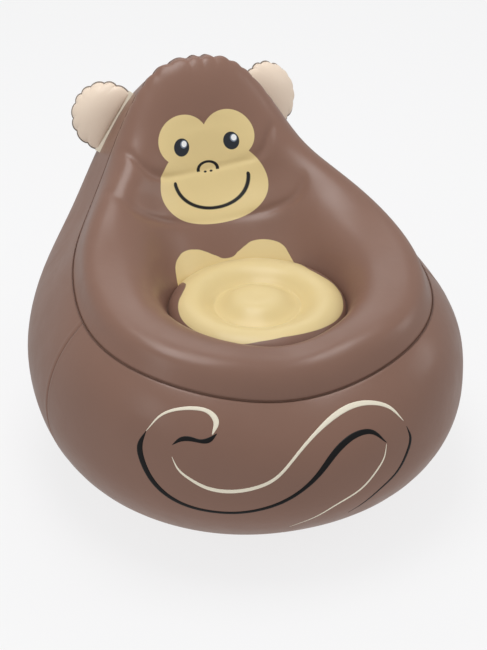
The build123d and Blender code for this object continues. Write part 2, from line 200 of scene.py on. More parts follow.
def panel_profiles(bearing, outer_steps, inner_steps):
    """Seat and back, from the perimeter weld in to the seat well."""
    start = seam(bearing)
    well = np.full_like(start, 1.0) * (WELL_RADIUS, WELL_HEIGHT)
    inner = np.stack((at(INNER_RADIUS, bearing), WELL_HEIGHT + at(INNER_RISE, bearing)), -1)
    slope = heading(at(INNER_SLOPE, bearing))
    leave = start + at(PANEL_PULL, bearing)[:, None] * lean_towards(at(PANEL_LEAN, bearing))
    before = inner - at(INNER_OUT_PULL, bearing)[:, None] * slope
    after = inner + at(INNER_IN_PULL, bearing)[:, None] * slope
    arrive = well - at(WELL_PULL, bearing)[:, None] * heading(at(WELL_SLOPE, bearing))
    outer = bezier(start, leave, before, inner, outer_steps)
    return np.concatenate((outer, bezier(inner, after, arrive, well, inner_steps)), 1)


def round_body(bearing_count):
    """Bearings once round from the back of the left side, the last the same as the first."""
    return np.linspace(-180, 180, bearing_count + 1)


def along_rows(grid):
    """Distance along each profile from its first row."""
    steps = np.linalg.norm(np.diff(grid, axis=1), axis=2)
    return np.concatenate((np.zeros((len(grid), 1)), np.cumsum(steps, 1)), 1)


def outwards(grid):
    """Outward unit normals of a sheet that closes on itself round the body."""
    round_step = np.roll(grid[:-1], -1, 0) - np.roll(grid[:-1], 1, 0)
    round_step = np.concatenate((round_step, round_step[:1]), 0)
    normal = np.cross(round_step, np.gradient(grid, axis=1))
    return normal / np.maximum(np.linalg.norm(normal, axis=2, keepdims=True), 1e-12)


# ---------------------------------------------------------------- puckers, welds and creases

def near(distance, reach):
    return np.exp(-(distance / reach) ** 2)


def seam_length(bearing):
    """Distance along the perimeter weld from the first bearing."""
    places = in_space(seam(bearing), bearing)
    return np.concatenate(((0,), np.cumsum(np.linalg.norm(np.diff(places, axis=0), axis=1))))


def crown_share(bearing):
    """How much of the crown's gathering a bearing has, from 0 to 1."""
    return near(np.abs(bearing - 89), 17.0)


def gathers(bearing):
    """Scallops along the perimeter weld, from 0 at a pinch to 1, and small gathers between them."""
    length = seam_length(bearing)
    length = length - np.interp(90, bearing, length)
    drift = 0.16 * np.sin(length * 31 + 1.1) + 0.10 * np.sin(length * 73 + 0.4)
    scallop = np.abs(np.sin(math.pi * (length / PUCKER_PITCH + drift + 0.35)))
    ripple = np.sin(length * 610 + 2.6 * np.sin(length * 43)) * np.sin(length * 17 + 0.7) ** 2
    return scallop ** 0.85, ripple


def gathered(grid, bearing, distance, normal):
    """Moves a sheet near the perimeter weld into its scallops and gathers."""
    scallop, ripple = gathers(bearing)
    share = crown_share(bearing)
    lift = seam_normal(bearing)[:, None, :]
    rise = (PUCKER_HEIGHT * share * (scallop - 0.55))[:, None] * np.exp(-distance / PUCKER_REACH)
    hollow = (PUCKER_HEIGHT * 0.55 * share * (scallop - 1))[:, None] * (
        distance / 0.010 * np.exp(1 - distance / 0.010))
    fine = (0.00006 * (1 - 0.5 * share) * ripple)[:, None] * distance / 0.006 * np.exp(1 - distance / 0.006)
    valley = -0.0009 * near(distance, 0.0022)
    return grid + lift * rise[..., None] + normal * (hollow + fine + valley)[..., None]


def seam_normal(bearing):
    """Outward unit vectors half way between the two sheets at the perimeter weld."""
    lean = np.radians((at(WALL_LEAN, bearing) + at(PANEL_LEAN, bearing)) / 2)
    turn = np.radians(bearing)
    return np.stack((np.cos(lean) * np.cos(turn), np.cos(lean) * np.sin(turn), np.sin(lean)), -1)


def groove(across, up, path, reach):
    """Depth of a soft groove along a path of (across, up, depth), in the sheet's own plane."""
    step = np.linalg.norm(np.diff(path[:, :2], axis=0), axis=1).mean()
    total = sum(depth * near(np.hypot(across - x, up - y), reach) for x, y, depth in path)
    return MM * total * step / (reach * math.sqrt(math.pi))


def smooth_path(path, count=150):
    """The same path with its corners rounded and its places evenly spaced."""
    path = np.asarray(path, float)
    run = np.concatenate(((0,), np.cumsum(np.linalg.norm(np.diff(path[:, :2], axis=0), axis=1))))
    where = np.linspace(0, run[-1], count)
    ends = (path[1] - path[0]) / run[1], (path[-1] - path[-2]) / (run[-1] - run[-2])
    columns = [through(run, path[:, k], where, ends[0][k], ends[1][k]) for k in range(path.shape[1])]
    return np.stack(columns, -1)


# creases in the backrest: (across, up from the seat well), with a depth at each place
NOSE_CREASE = (
    (-0.152, 0.256, 0.0), (-0.138, 0.230, 4.5), (-0.118, 0.196, 7.0), (-0.098, 0.178, 5.5),
    (-0.055, 0.170, 2.8), (0.000, 0.171, 2.4), (0.050, 0.178, 2.8), (0.088, 0.192, 5.0),
    (0.104, 0.219, 5.5), (0.120, 0.251, 0.0),
)
CHIN_CREASE = (
    (-0.200, 0.218, 0.0), (-0.172, 0.172, 3.0), (-0.147, 0.136, 5.0), (-0.102, 0.104, 5.5),
    (-0.056, 0.086, 2.5), (0.000, 0.080, 1.2), (0.056, 0.086, 3.5), (0.096, 0.099, 6.0),
    (0.126, 0.118, 6.0), (0.154, 0.168, 0.0),
)
BROW_CREASE = ((-0.066, 0.244, 0.0), (-0.030, 0.250, 1.2), (0.020, 0.251, 1.3), (0.062, 0.246, 0.0))


def creased(grid, bearing, up, normal):
    """Swells the backrest on both sides of its tie lines and holds it in along them."""
    rear = np.clip(np.sin(np.radians(bearing)) / 0.3, 0, 1)
    held = np.flatnonzero(rear > 0)
    across, height = grid[held][..., 0], up[held]
    lift = np.zeros(across.shape)
    for crease, reach in ((NOSE_CREASE, 0.0052), (CHIN_CREASE, 0.0062), (BROW_CREASE, 0.0045)):
        path = smooth_path(crease)
        lift += 0.55 * groove(across, height, path, 5.0 * reach)
        lift -= 0.60 * groove(across, height, path, reach) + 0.38 * groove(across, height, path, 2.4 * reach)
    lift = np.where(lift < 0, CREASE_LIMIT * np.tanh(lift / CREASE_LIMIT), lift)
    grid = grid.copy()
    grid[held] += normal[held] * (lift * (rear * rear * (3 - 2 * rear))[held][:, None])[..., None]
    return grid


# ---------------------------------------------------------------- meshes

def new_piece(name, mesh, material):
    mesh.name = name
    piece = bpy.data.objects.new(name, mesh)
    bpy.context.collection.objects.link(piece)
    if material is not None:
        mesh.materials.append(material)
    mesh.shade_smooth()
    return piece


def plain_mesh(name, places, faces):
    mesh = bpy.data.meshes.new(name)
    mesh.from_pydata([tuple(place) for place in places], [], faces)
    mesh.update()
    return mesh


def drop_loose(mesh):
    """Removes places that no face uses."""
    work = bmesh.new()
    work.from_mesh(mesh)
    bmesh.ops.delete(work, geom=[place for place in work.verts if not place.link_faces], context="VERTS")
    work.to_mesh(mesh)
    work.free()


def ladder(count, ring):
    """Index of each column, with the last the same as the first on a ring."""
    index = np.arange(count)
    if ring:
        index[-1] = 0
    return index


def backing(grid, depth, ring):
    """How far behind its outside a sheet's inner side lies: SKIN at its edges, depth well away from them."""
    run = along_rows(grid)
    edge_gap = np.minimum(run, run[:, -1:] - run)
    if not ring:
        ends = np.stack([np.linalg.norm(grid - grid[end][None], axis=2) for end in (0, -1)]).min(0)
        edge_gap = np.minimum(edge_gap, ends)
    share = np.clip(edge_gap / 0.04, 0, 1)
    return SKIN + (depth - SKIN) * share * share * (3 - 2 * share)


def corners(values):
    """The four corners of each face of a grid, in order round the face."""
    return values[:-1, :-1], values[1:, :-1], values[1:, 1:], values[:-1, 1:]


def sheet_piece(name, grid, normal, material, maps, ring, depth):
    """A closed sheet of vinyl: a fine outside, a coarser inner side behind it, and edges between the two."""
    columns, rows = grid.shape[:2]
    kept_columns, kept_rows = np.arange(0, columns, COARSE), np.arange(0, rows, COARSE)
    inside = (grid - backing(grid, depth, ring)[..., None] * normal)[np.ix_(kept_columns, kept_rows)]
    outer = ladder(columns, ring)[:, None] * rows + np.arange(rows)
    start = columns * rows
    inner = start + ladder(len(kept_columns), ring)[:, None] * len(kept_rows) + np.arange(len(kept_rows))
    faces = np.stack(corners(outer), -1).reshape(-1, 4).tolist()
    fine_faces = len(faces)
    first, second, third, fourth = corners(inner)
    faces += np.stack((first, fourth, third, second), -1).reshape(-1, 4).tolist()
    for k in range(len(kept_columns) - 1):
        span = outer[k * COARSE:(k + 1) * COARSE + 1]
        faces.append(list(span[::-1, 0]) + [inner[k, 0], inner[k + 1, 0]])
        faces.append(list(span[:, -1]) + [inner[k + 1, -1], inner[k, -1]])
    if not ring:
        for k in range(len(kept_rows) - 1):
            span = outer[:, k * COARSE:(k + 1) * COARSE + 1]
            faces.append(list(span[0]) + [inner[0, k + 1], inner[0, k]])
            faces.append(list(span[-1, ::-1]) + [inner[-1, k], inner[-1, k + 1]])
    mesh = plain_mesh(name, np.concatenate((grid.reshape(-1, 3), inside.reshape(-1, 3))), faces)
    for map_name, values in maps.items():
        corner = np.stack(corners(values), 2)
        flat = np.full((len(mesh.loops), 2), 9.0)
        flat[:4 * fine_faces] = corner.reshape(-1, 2)
        mesh.uv_layers.new(name=map_name).uv.foreach_set("vector", flat.astype(np.float32).ravel())
    drop_loose(mesh)
    return new_piece(name, mesh, material)


def frozen(piece):
    """The piece's evaluated shape as a plain mesh, with its modifiers removed."""
    bpy.context.view_layer.update()
    mesh = bpy.data.meshes.new_from_object(piece.evaluated_get(bpy.context.evaluated_depsgraph_get()))
    piece.modifiers.clear()
    piece.data = mesh
    mesh.shade_smooth()
    return piece


# ---------------------------------------------------------------- geometry node trees

def shape_tree(name, inputs):
    """An empty geometry tree with named inputs, its group input and its geometry output."""
    tree = bpy.data.node_groups.new(name, "GeometryNodeTree")
    tree.interface.new_socket("Geometry", in_out="INPUT", socket_type="NodeSocketGeometry")
    for label, kind in inputs:
        tree.interface.new_socket(label, in_out="INPUT", socket_type=kind)
    tree.interface.new_socket("Geometry", in_out="OUTPUT", socket_type="NodeSocketGeometry")
    return tree, tree.nodes.new("NodeGroupInput"), tree.nodes.new("NodeGroupOutput")


def add_node(tree, kind, links=(), **settings):
    """A node with its settings, and its inputs linked or given a value."""
    node = tree.nodes.new(kind)
    for key, value in settings.items():
        setattr(node, key, value)
    for socket, source in links:
        if isinstance(source, bpy.types.NodeSocket):
            tree.links.new(source, node.inputs[socket])
        else:
            node.inputs[socket].default_value = source
    return node


def finish_tree(tree, sheet, given, output):
    """Gives a flat sheet its thickness, closes it underneath and sets its material."""
    raised = add_node(tree, "GeometryNodeExtrudeMesh", (
        ("Mesh", sheet), ("Offset Scale", given.outputs["Thickness"]), ("Individual", False)))
    under = add_node(tree, "GeometryNodeFlipFaces", (("Mesh", sheet),))
    joined = add_node(tree, "GeometryNodeJoinGeometry", ((0, raised.outputs["Mesh"]),))
    tree.links.new(under.outputs[0], joined.inputs[0])
    merged = add_node(tree, "GeometryNodeMergeByDistance", (
        ("Geometry", joined.outputs[0]), ("Distance", MERGE_GAP)))
    whole = add_node(tree, "GeometryNodeRealizeInstances", ((0, merged.outputs[0]),))
    painted = add_node(tree, "GeometryNodeSetMaterial", (
        ("Geometry", whole.outputs[0]), ("Material", given.outputs["Material"])))
    tree.links.new(painted.outputs[0], output.inputs[0])


def print_tree():
    """Lays a flat ribbon on a sheet and gives it the thickness of printed ink."""
    tree, given, output = shape_tree("laid_print", (
        ("Sheet", "NodeSocketObject"), ("Lift", "NodeSocketFloat"), ("Thickness", "NodeSocketFloat"),
        ("Material", "NodeSocketMaterial"),
    ))
    sheet = add_node(tree, "GeometryNodeObjectInfo", (("Object", given.outputs["Sheet"]),))
    here = add_node(tree, "GeometryNodeInputPosition")
    facing = add_node(tree, "GeometryNodeInputNormal")
    laid = given.outputs["Geometry"]
    sampled = {}
    for key, value in (("place", here.outputs[0]), ("normal", facing.outputs[0])):
        sampled[key] = add_node(tree, "GeometryNodeSampleNearestSurface", data_type="FLOAT_VECTOR")
        tree.links.new(sheet.outputs["Geometry"], sampled[key].inputs["Mesh"])
        tree.links.new(value, sampled[key].inputs["Value"])
        tree.links.new(here.outputs[0], sampled[key].inputs["Sample Position"])
    lifted = add_node(tree, "ShaderNodeVectorMath", (
        (0, sampled["normal"].outputs["Value"]), (3, given.outputs["Lift"])), operation="SCALE")
    place = add_node(tree, "ShaderNodeVectorMath", (
        (0, sampled["place"].outputs["Value"]), (1, lifted.outputs[0])), operation="ADD")
    moved = add_node(tree, "GeometryNodeSetPosition", (("Geometry", laid), ("Position", place.outputs[0])))
    finish_tree(tree, moved.outputs[0], given, output)
    return tree


def lip_tree():
    """Gives a weld's flat lip its thickness and a row of small heat-seal ribs along it."""
    tree, given, output = shape_tree("weld_lip", (
        ("Ribs", "NodeSocketFloat"), ("Rib Height", "NodeSocketFloat"), ("Thickness", "NodeSocketFloat"),
        ("Material", "NodeSocketMaterial"),
    ))
    along = add_node(tree, "GeometryNodeInputNamedAttribute", (("Name", "along"),), data_type="FLOAT")
    facing = add_node(tree, "GeometryNodeInputNormal")
    turns = add_node(tree, "ShaderNodeMath", (
        (0, along.outputs[0]), (1, given.outputs["Ribs"])), operation="MULTIPLY")
    wave = add_node(tree, "ShaderNodeMath", ((0, turns.outputs[0]),), operation="SINE")
    height = add_node(tree, "ShaderNodeMath", (
        (0, wave.outputs[0]), (1, given.outputs["Rib Height"])), operation="MULTIPLY")
    shift = add_node(tree, "ShaderNodeVectorMath", (
        (0, facing.outputs[0]), (3, height.outputs[0])), operation="SCALE")
    ribbed = add_node(tree, "GeometryNodeSetPosition", (
        ("Geometry", given.outputs["Geometry"]), ("Offset", shift.outputs[0])))
    finish_tree(tree, ribbed.outputs[0], given, output)
    return tree


def shaped(piece, tree, **values):
    """Runs a tree on a piece and keeps the result as a plain mesh."""
    modifier = piece.modifiers.new(tree.name, "NODES")
    modifier.node_group = tree
    for item in tree.interface.items_tree:
        if item.in_out == "INPUT" and item.name.replace(" ", "_").lower() in values:
            modifier[item.identifier] = values[item.name.replace(" ", "_").lower()]
    return frozen(piece)


# ---------------------------------------------------------------- vinyl finishes

def linear(red, green, blue):
    """A finish's colour from its swatch, 0 to 255."""
    swatch = np.array((red, green, blue)) / 255
    return tuple(np.where(swatch < 0.04045, swatch / 12.92, ((swatch + 0.055) / 1.055) ** 2.4)) + (1.0,)


def tinted(colour, share):
    return tuple(min(1.0, channel * share) for channel in colour[:3]) + (1.0,)


def maths(tree, operation, *values):
    return add_node(tree, "ShaderNodeMath", enumerate(values), operation=operation).outputs[0]


def blended(tree, factor, first, second):
    """Colour that goes from first to second by a factor."""
    mix = add_node(tree, "ShaderNodeMix", ((0, factor), (6, first), (7, second)), data_type="RGBA")
    return mix.outputs[2]


def noise(tree, place, scale, detail=2.0, roughness=0.5):
    node = add_node(tree, "ShaderNodeTexNoise", (
        ("Vector", place), ("Scale", scale), ("Detail", detail), ("Roughness", roughness)))
    return node.outputs["Fac"]


def vinyl(name, colour, prints=None, roughness=(0.28, 0.38), grain=0.08, specular=0.34, coat=0.04):
    """Soft calendered vinyl: faint clouding, a fine grain, soft ripples and an uneven satin sheen."""
    material = bpy.data.materials.new(name)
    material.use_nodes = True
    tree = material.node_tree
    shader = tree.nodes["Principled BSDF"]
    place = add_node(tree, "ShaderNodeTexCoord").outputs["Object"]
    cloud = noise(tree, place, 7.0, 3.0)
    paint = blended(tree, cloud, tinted(colour, 0.93), tinted(colour, 1.07))
    if prints is not None:
        paint = prints(tree, paint)
    tree.links.new(paint, shader.inputs["Base Color"])
    sheen = add_node(tree, "ShaderNodeMapRange", (
        ("Value", noise(tree, place, 24.0, 4.0)), ("From Min", 0.3), ("From Max", 0.7),
        ("To Min", roughness[0]), ("To Max", roughness[1])))
    tree.links.new(sheen.outputs[0], shader.inputs["Roughness"])
    soft = add_node(tree, "ShaderNodeBump", (
        ("Height", noise(tree, place, 42.0, 2.0)), ("Strength", 0.08), ("Distance", 0.004)))
    fine = add_node(tree, "ShaderNodeBump", (
        ("Height", noise(tree, place, 1400.0, 2.0)), ("Strength", grain), ("Distance", 0.0003),
        ("Normal", soft.outputs[0])))
    tree.links.new(fine.outputs[0], shader.inputs["Normal"])
    shader.inputs["Specular IOR Level"].default_value = specular
    shader.inputs["Coat Weight"].default_value = coat
    shader.inputs["Coat Roughness"].default_value = 0.22
    return material


def oval(tree, across, up, centre, size):
    """How far inside an oval a place is: 0 at its edge and 1 in the middle."""
    wide = maths(tree, "DIVIDE", maths(tree, "SUBTRACT", across, centre[0]), size[0])
    high = maths(tree, "DIVIDE", maths(tree, "SUBTRACT", up, centre[1]), size[1])
    square = maths(tree, "ADD", maths(tree, "MULTIPLY", wide, wide), maths(tree, "MULTIPLY", high, high))
    return maths(tree, "SUBTRACT", 1.0, square)


def edge(tree, inside, softness):
    """A printed edge with a little softness."""
    node = add_node(tree, "ShaderNodeMapRange", (
        ("Value", inside), ("From Min", -softness), ("From Max", softness)))
    return node.outputs[0]


def arc(tree, across, up, centre, size, half_width):
    """A drawn line along an oval, fading to nothing at half_width on each side."""
    ring = maths(tree, "SQRT", maths(tree, "SUBTRACT", 1.0, oval(tree, across, up, centre, size)))
    away = maths(tree, "ABSOLUTE", maths(tree, "SUBTRACT", ring, 1.0))
    return edge(tree, maths(tree, "SUBTRACT", half_width / min(size), away), 0.012)


STRAW = linear(224, 202, 147)
INK = linear(20, 19, 20)
CREAM = linear(236, 228, 208)
EYE = linear(38, 42, 50)

# the belly print's edge: bearing round the seat and distance out from its axis
BELLY_EDGE = (
    (-90, 0.1265), (-75, 0.129), (-58, 0.134), (-42, 0.138), (-30, 0.139), (-18, 0.138),
    (-2, 0.136), (8, 0.130), (23, 0.1215), (33, 0.126), (41, 0.138), (46, 0.148),
    (50, 0.158), (53, 0.167), (57, 0.178), (62, 0.184), (68, 0.186), (74, 0.184),
    (79, 0.176), (84, 0.166), (91, 0.157), (98, 0.165), (104, 0.177), (109, 0.185),
    (116, 0.189), (122, 0.185), (128, 0.176), (132, 0.163), (136, 0.147), (141, 0.129),
    (148, 0.1205), (156, 0.121), (168, 0.127), (180, 0.132), (192, 0.135), (222, 0.1355),
    (240, 0.1355), (255, 0.130), (270, 0.1265),
)


def belly_print(tree, paint):
    """The straw-coloured belly: two lobes climb the backrest."""
    place = add_node(tree, "ShaderNodeUVMap", uv_map="round_seat").outputs[0]
    split = add_node(tree, "ShaderNodeSeparateXYZ", ((0, place),))
    curve = tree.nodes.new("ShaderNodeFloatCurve")
    line = curve.mapping.curves[0]
    line.points[0].location = (0.0, BELLY_EDGE[0][1] * 5)
    line.points[1].location = (1.0, BELLY_EDGE[-1][1] * 5)
    for bearing, distance in BELLY_EDGE[1:-1]:
        line.points.new((bearing + 90) / 360, distance * 5)
    curve.mapping.update()
    tree.links.new(split.outputs[0], curve.inputs["Value"])
    reach = maths(tree, "DIVIDE", curve.outputs[0], 5.0)
    inside = edge(tree, maths(tree, "SUBTRACT", reach, split.outputs[1]), 0.0004)
    return blended(tree, inside, paint, STRAW)


def face_print(tree, paint):
    """The straw-coloured face with its eyes, nose and smile, over the belly print."""
    paint = belly_print(tree, paint)
    place = add_node(tree, "ShaderNodeUVMap", uv_map="back_rest").outputs[0]
    split = add_node(tree, "ShaderNodeSeparateXYZ", ((0, place),))
    x = maths(tree, "SUBTRACT", split.outputs[0], FACE_X)
    up = split.outputs[1]
    aside = maths(tree, "ABSOLUTE", x)
    brow = oval(tree, aside, up, (0.0395, 0.2265), (0.0450, 0.0425))
    cheek = oval(tree, aside, up, (0.0, 0.1480), (0.0950, 0.0730))
    middle = oval(tree, aside, up, (0.0, 0.1950), (0.0520, 0.0520))
    whole = maths(tree, "MAXIMUM", maths(tree, "MAXIMUM", brow, cheek), middle)
    paint = blended(tree, edge(tree, whole, 0.008), paint, STRAW)
    eyes = edge(tree, oval(tree, aside, up, (0.0440, 0.2150), (0.0138, 0.0152)), 0.03)
    paint = blended(tree, eyes, paint, EYE)
    for side in (-1, 1):
        halo = oval(tree, x, up, (side * 0.0440 + 0.0045, 0.2195), (0.0062, 0.0068))
        paint = blended(tree, edge(tree, halo, 0.06), paint, linear(120, 132, 150))
        glint = oval(tree, x, up, (side * 0.0440 + 0.0050, 0.2200), (0.0046, 0.0052))
        paint = blended(tree, edge(tree, glint, 0.08), paint, linear(246, 248, 250))
    smile = arc(tree, x, up, (0.0, 0.1620), (0.0655, 0.0590), 0.0029)
    smile = maths(tree, "MULTIPLY", smile, edge(tree, maths(tree, "SUBTRACT", 0.1560, up), 0.0004))
    for side in (-1, 1):
        corner = edge(tree, oval(tree, x, up, (side * 0.0650, 0.1565), (0.0031, 0.0042)), 0.1)
        smile = maths(tree, "MAXIMUM", smile, corner)
    nose = arc(tree, x, up, (-0.002, 0.1715), (0.0172, 0.0125), 0.0021)
    nose = maths(tree, "MULTIPLY", nose, edge(tree, maths(tree, "SUBTRACT", up, 0.1690), 0.0004))
    nostril = edge(tree, oval(tree, maths(tree, "ABSOLUTE", maths(tree, "ADD", x, 0.002)),
                              up, (0.0052, 0.1675), (0.0027, 0.0018)), 0.1)
    lines = maths(tree, "MAXIMUM", maths(tree, "MAXIMUM", smile, nose), nostril)
    return blended(tree, lines, paint, INK)


BROWN = linear(132, 100, 86)
brown_vinyl = vinyl("brown_vinyl", BROWN)
seat_vinyl = vinyl("printed_seat_vinyl", BROWN, belly_print)
back_vinyl = vinyl("printed_back_vinyl", BROWN, face_print)
# the welds' vinyl is the body's brown darkened to 0.62: painted shade along the seam's valley and in the seat
# well's crease; its rougher grain and ribs are the weld's own
painted_shade_weld_vinyl = vinyl("pressed_weld_vinyl", tinted(BROWN, 0.62), roughness=(0.42, 0.55), grain=0.25)
ear_vinyl = vinyl("ear_vinyl", linear(234, 215, 195), roughness=(0.34, 0.46))
ear_weld_vinyl = vinyl("ear_weld_vinyl", linear(132, 120, 110), roughness=(0.40, 0.52), grain=0.25)
ear_flange_vinyl = vinyl("ear_flange_vinyl", linear(222, 212, 192), roughness=(0.36, 0.48))
black_print = vinyl("black_print", INK, roughness=(0.36, 0.46), grain=0.05, specular=0.2, coat=0.0)
cream_print = vinyl("cream_print", CREAM, roughness=(0.36, 0.46), grain=0.05)
valve_vinyl = vinyl("clear_valve_vinyl", linear(205, 203, 198), roughness=(0.16, 0.26), grain=0.04)
inner_vinyl = vinyl("inner_web_vinyl", linear(188, 178, 170), roughness=(0.4, 0.5))

# ---------------------------------------------------------------- the body's skins

bearing = round_body(COLUMNS)
foot_steps = np.concatenate((np.linspace(0, 0.78, 14), np.linspace(0.795, 0.905, 15), (0.93, 0.965)))
wall_steps = 1 - np.linspace(1, 0, 42) ** 1.7
wall_grid = in_space(wall_profiles(bearing, foot_steps, wall_steps), bearing)
wall_normal = outwards(wall_grid)
wall_run = along_rows(wall_grid)
below_weld = wall_run[:, -1:] - wall_run
side_turn = np.minimum(np.abs(bearing), 180 - np.abs(bearing))
from_side = np.radians(side_turn)[:, None] * np.hypot(wall_grid[..., 0], wall_grid[..., 1] - SEAT_Y * MM)
side_weld = -0.0011 * near(from_side, 0.0020) + 0.0004 * near(from_side - 0.0055, 0.0030)
wall_skin_grid = gathered(wall_grid, bearing, below_weld, wall_normal) + wall_normal * side_weld[..., None]

outer_steps = np.linspace(0, 1, 50)[:-1] ** 1.6
inner_steps = np.linspace(0, 1, 72)
panel_grid = in_space(panel_profiles(bearing, outer_steps, inner_steps), bearing)
panel_normal = outwards(panel_grid)
panel_run = along_rows(panel_grid)
above_well = panel_run[:, -1:] - panel_run
panel_skin_grid = gathered(panel_grid, bearing, panel_run, panel_normal)
panel_skin_grid = creased(panel_skin_grid, bearing, above_well, panel_normal)


def valve_frame(name):
    """Centre, axis facing backwards and a side axis of a valve, from its CAD flange."""
    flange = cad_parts[f"{name}_valve_flange"]
    places = np.array([tuple(vertex.co) for vertex in flange.data.vertices])
    centre = (places.min(0) + places.max(0)) / 2
    spread = np.linalg.svd(places - places.mean(0), full_matrices=False)[2]
    axis = Vector(spread[2])
    if axis.y < 0:
        axis.negate()
    side = Vector((1, 0, 0)) - axis * axis.x
    if side.length < 0.3:
        side = Vector((0, 0, 1)) - axis * axis.z
    return Vector(centre), axis, side.normalized()


def pit(grid, centre, axis):
    """Presses a narrow pit into a skin where a valve's stem passes through it."""
    away = grid - np.array(centre)
    height = away @ np.array(axis)
    radius = np.linalg.norm(away - height[..., None] * np.array(axis), axis=-1)
    depth = np.clip((PIT_RADIUS - radius) / 0.0012, 0, 1)
    depth = np.where(np.abs(height) < 0.03, depth * depth * (3 - 2 * depth), 0)
    return grid - (PIT_DEPTH * depth)[..., None] * np.array(axis)


wall_skin_grid = pit(wall_skin_grid, *valve_frame("main")[:2])

half = COLUMNS // 2
front_wall_skin = sheet_piece(
    "front_wall_skin", wall_skin_grid[:half + 1], wall_normal[:half + 1], brown_vinyl, {}, False, 0.022)
rear_wall_skin = sheet_piece(
    "rear_wall_skin", wall_skin_grid[half:], wall_normal[half:], brown_vinyl, {}, False, 0.022)


def seat_map(columns, distance):
    """Bearing round the seat, 0 at the front, and distance out from its axis."""
    share = (columns + 90) / 360
    return np.stack((np.broadcast_to(share[:, None], distance.shape), distance), -1)


from_front = np.concatenate((bearing[COLUMNS // 4:-1], bearing[:COLUMNS // 4 + 1] + 360))


def turned(values):
    """The same columns, started at the front."""
    return np.concatenate((values[COLUMNS // 4:-1], values[:COLUMNS // 4 + 1]))


back_maps = {
    "round_seat": seat_map(from_front, turned(above_well) + WELL_RADIUS * MM),
    "back_rest": np.stack((turned(panel_grid)[..., 0],
                           np.where(turned(panel_grid)[..., 1] > SEAT_Y * MM, turned(above_well), 9.0)), -1),
}
seat_back_skin = sheet_piece(
    "seat_back_skin", turned(panel_skin_grid), turned(panel_normal), back_vinyl, back_maps, True, 0.014)


def cushion_grid():
    """Dome, groove and ring of the seat cushion, from the well in to the middle."""
    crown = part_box("seat_cushion_top")[1].z / MM
    places = np.array((
        (0, crown), (43.4, crown - 5), (70, crown - 18), (87.5, crown - 7), (116, crown - 1),
        (144.9, WELL_HEIGHT)))
    run = np.concatenate(((0,), np.cumsum(np.linalg.norm(np.diff(places, axis=0), axis=1))))
    where = np.linspace(run[-1], 0.35, 73)
    radius = through(run, places[:, 0], where, 1.0, 0.25)
    height = through(run, places[:, 1], where, 0.0, -1.0)
    distance = radius * MM
    height = height - 1.6 * near(radius - 70, 2.6)
    profile = np.broadcast_to(np.stack((radius, height), -1), (COLUMNS // 2 + 1, len(where), 2))
    turns = np.linspace(-90, 270, COLUMNS // 2 + 1)
    grid = in_space(profile, turns)
    wave = 1 + 0.35 * np.sin(np.radians(turns) * 17 + 2 * np.sin(np.radians(turns) * 3))
    normal = outwards(grid)
    rim = 0.0005 * (wave - 1)[:, None] * near(distance - 0.128, 0.012)[None, :]
    return grid + normal * rim[..., None], normal, seat_map(turns, np.broadcast_to(distance, grid.shape[:2]))


def closed_cushion():
    """The seat cushion's sheet, with its middle closed."""
    grid, normal, seat_places = cushion_grid()
    maps = {"round_seat": seat_places}
    piece = sheet_piece("seat_cushion_skin", grid, normal, seat_vinyl, maps, True, 0.010)
    mesh = bmesh.new()
    mesh.from_mesh(piece.data)
    middle = [v for v in mesh.verts if math.hypot(v.co.x, v.co.y - SEAT_Y * MM) < 0.0008]
    top = [v for v in middle if v.co.z > middle[0].co.z - SKIN / 2]
    under = [v for v in middle if v not in set(top)]
    for group in (top, under):
        if group:
            centre = sum((v.co for v in group), Vector()) / len(group)
            bmesh.ops.pointmerge(mesh, verts=group, merge_co=centre)
    bmesh.ops.delete(mesh, geom=[e for e in mesh.edges if not e.link_faces], context="EDGES")
    mesh.to_mesh(piece.data)
    mesh.free()
    piece.data.shade_smooth()
    return piece


seat_cushion_skin = closed_cushion()

# ---------------------------------------------------------------- welds

weld_lip = lip_tree()


def lip_strip(name, inner, outer, ring):
    """A flat strip between two lines, with the distance along it kept as an attribute."""
    count = len(inner)
    index = ladder(count, ring)
    faces = [(index[i], index[i + 1], count + index[i + 1], count + index[i]) for i in range(count - 1)]
    mesh = plain_mesh(name, np.concatenate((inner, outer)), faces)
    run = np.concatenate(((0,), np.cumsum(np.linalg.norm(np.diff(inner, axis=0), axis=1))))
    attribute = mesh.attributes.new("along", "FLOAT", "POINT")
    attribute.data.foreach_set("value", np.concatenate((run, run)).astype(np.float32))
    drop_loose(mesh)
    return new_piece(name, mesh, None)


def perimeter_lip():
    """The thin lip of the weld round the body, wider and gathered over the crown."""
    fine = np.linspace(-180, 180, 2 * COLUMNS + 1)
    scallop, ripple = gathers(fine)
    share = crown_share(fine)
    lift = seam_normal(fine)
    foot = in_space(seam(fine), fine) + lift * (PUCKER_HEIGHT * share * (scallop - 0.55) - 0.0012)[:, None]
    reach = 0.0012 + WELD_LIP + share * (CROWN_LIP - WELD_LIP) * (0.35 + 0.65 * scallop)
    top = foot + lift * (reach + 0.0001 * ripple)[:, None]
    strip = lip_strip("perimeter_weld_lip", foot, top, True)
    # the lip's darker vinyl is painted shade along the perimeter seam
    return shaped(strip, weld_lip, ribs=2900.0, rib_height=0.00008, thickness=0.0007, material=painted_shade_weld_vinyl)


perimeter_weld_lip = perimeter_lip()


